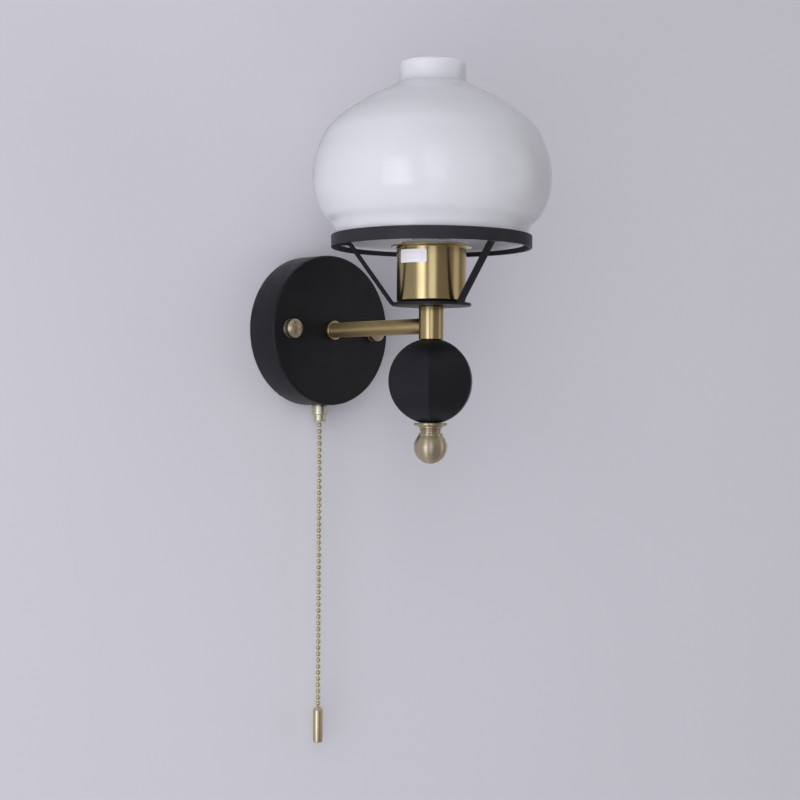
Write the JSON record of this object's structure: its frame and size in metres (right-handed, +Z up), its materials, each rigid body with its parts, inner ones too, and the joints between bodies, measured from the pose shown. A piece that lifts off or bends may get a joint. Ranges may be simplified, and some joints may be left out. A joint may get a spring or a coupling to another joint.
{
  "type": "wall light",
  "caption": "Wall sconce: opal glass shade in an open black gallery over a brass cup, brass arm from a round black backplate, faceted ball, finial and a pull-chain switch.",
  "frame": {"origin": "centre of the backplate in the plane of the wall, where the wall bracket bears on it", "axes": "+Z up, +Y into the wall, so the arm and the lamp stand out along -Y, +X to the right seen from the front"},
  "size_m": [0.1492, 0.1946, 0.4408],
  "materials": {
    "black_paint": "satin",
    "satin_brass": "satin",
    "pale_brass": "satin",
    "zinc_steel": "zinc plated",
    "opal_glass": "gloss opal",
    "frosted_glass": "frosted",
    "white_ceramic": "gloss",
    "white_nylon": "matte",
    "black_moulding": "gloss",
    "brown_wire": "matte",
    "blue_wire": "matte",
    "earth_wire_green": "matte"
  },
  "bodies": {
    "fixture": {"wall_bracket": "zinc_steel", "backplate": "black_paint", "bracket_stud_left": "zinc_steel", "bracket_stud_right": "zinc_steel", "stud_nut_left": "zinc_steel", "stud_nut_right": "zinc_steel", "cap_nut_left": "satin_brass", "cap_nut_right": "satin_brass", "earth_screw": "satin_brass", "terminal_block": "white_nylon", "arm_tube": "satin_brass", "arm_collar": "satin_brass", "arm_lock_washer": "zinc_steel", "arm_locknut": "zinc_steel", "wire_bushing": "white_nylon", "stem_tube": "satin_brass", "threaded_pipe": "zinc_steel", "pipe_locknut": "zinc_steel", "gallery_frame": "black_paint", "gallery_ring": "black_paint", "lampholder_cup": "satin_brass", "lampholder_body": "white_ceramic", "screw_shell": "pale_brass", "centre_contact": "pale_brass", "faceted_ball": "black_paint", "finial": "satin_brass", "switch_block": "black_moulding", "switch_neck": "pale_brass", "switch_ring_nut": "pale_brass", "return_spring": "zinc_steel", "neutral_wire": "blue_wire", "lamp_live_wire": "brown_wire", "supply_live_wire": "brown_wire", "earth_wire": "earth_wire_green"},
    "shade_body": {"shade": "opal_glass"},
    "bulb": {"bulb_globe": "frosted_glass", "bulb_cap": "zinc_steel", "bulb_insulator": "black_moulding"},
    "pull": {"pull_pin": "zinc_steel"},
    "chain": {"pull_chain": "pale_brass", "chain_weight": "satin_brass"}
  },
  "joints": [
    {"name": "shade_lift", "type": "slide", "parent": "fixture", "child": "shade_body", "axis": [0, 0, 1], "range_m": [0, 0.08]},
    {"name": "bulb_unscrew", "type": "slide", "parent": "fixture", "child": "bulb", "axis": [0, 0, 1], "range_m": [0, 0.027]},
    {"name": "chain_pull", "type": "slide", "parent": "fixture", "child": "pull", "axis": [0, 0, -1], "range_m": [0, 0.005], "stiffness_N_per_m": 500, "springref_m": -0.006, "deforming": ["return_spring"]},
    {"name": "chain_swing", "type": "hinge", "parent": "pull", "child": "chain", "pos_m": [0, -0.0125, -0.0615], "axis": [0, 1, 0], "range_deg": [-40, 40]}
  ]
}
